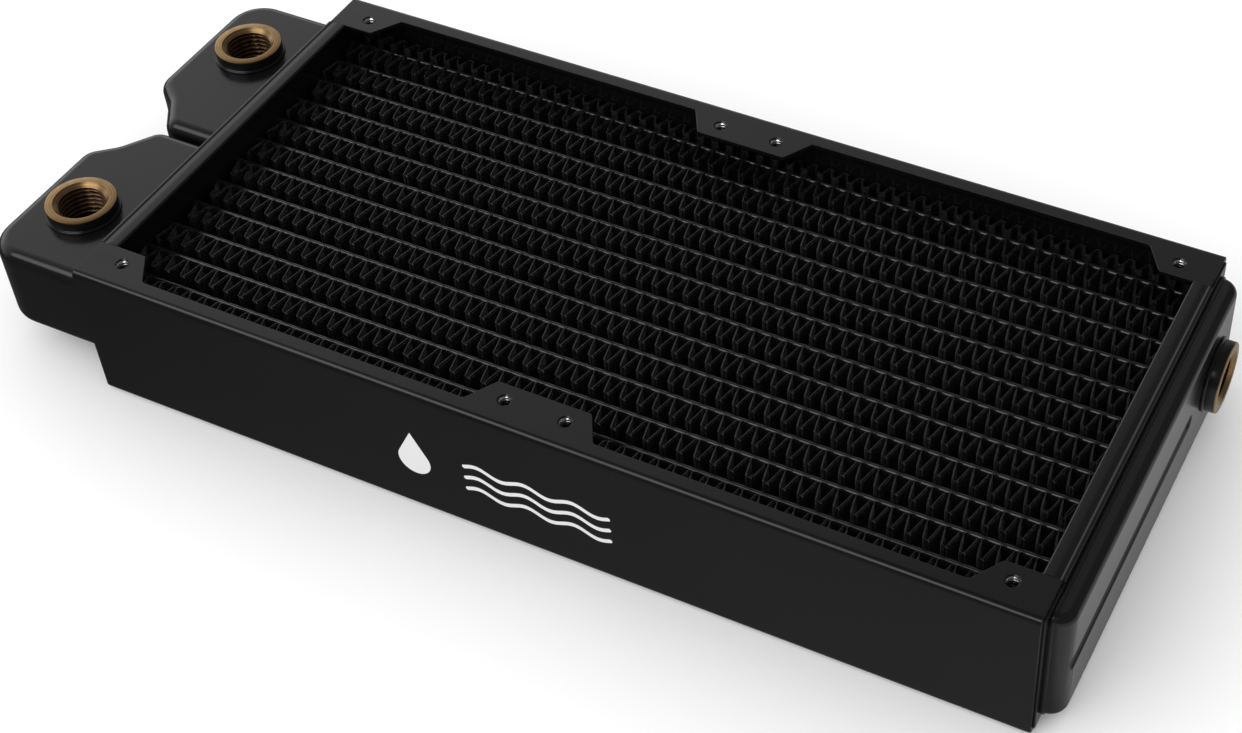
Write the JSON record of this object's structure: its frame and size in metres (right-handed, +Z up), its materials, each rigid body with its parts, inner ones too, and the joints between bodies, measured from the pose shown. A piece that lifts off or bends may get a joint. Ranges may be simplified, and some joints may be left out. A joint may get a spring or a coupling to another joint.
{
  "type": "liquid cooling radiator",
  "caption": "Black liquid cooling radiator: finned flat-tube core in a folded casing, tanks with threaded ports at both ends, tapped fan holes on both faces.",
  "frame": {"origin": "centre of the fan hole grid, on the underside of the bottom flanges", "axes": "+X along the core towards the return tank, +Y towards the rear side panel, +Z up through the core towards the face with the two port mouths"},
  "size_m": [0.2863, 0.12, 0.039],
  "materials": {
    "casing_paint": "satin powder coat",
    "tank_paint": "satin paint on brass",
    "core_paint": "thin black paint on copper",
    "port_brass": "machined, painted black outside"
  },
  "bodies": {
    "root": {"side_panel_front": "casing_paint", "side_panel_rear": "casing_paint", "frame_rail_left": "casing_paint", "frame_rail_right": "casing_paint", "port_tank_front": "tank_paint", "port_tank_rear": "tank_paint", "return_tank": "tank_paint", "header_plate_left": "tank_paint", "header_plate_right": "tank_paint", "flat_tube_01": "core_paint", "flat_tube_02": "core_paint", "flat_tube_03": "core_paint", "flat_tube_04": "core_paint", "flat_tube_05": "core_paint", "flat_tube_06": "core_paint", "flat_tube_07": "core_paint", "flat_tube_08": "core_paint", "flat_tube_09": "core_paint", "flat_tube_10": "core_paint", "flat_tube_11": "core_paint", "flat_tube_12": "core_paint", "flat_tube_13": "core_paint", "fin_strip_01": "core_paint", "fin_strip_02": "core_paint", "fin_strip_03": "core_paint", "fin_strip_04": "core_paint", "fin_strip_05": "core_paint", "fin_strip_06": "core_paint", "fin_strip_07": "core_paint", "fin_strip_08": "core_paint", "fin_strip_09": "core_paint", "fin_strip_10": "core_paint", "fin_strip_11": "core_paint", "fin_strip_12": "core_paint", "fin_strip_13": "core_paint", "fin_strip_14": "core_paint", "port_bushing_front": "port_brass", "port_bushing_rear": "port_brass", "port_bushing_return": "port_brass"}
  },
  "joints": []
}
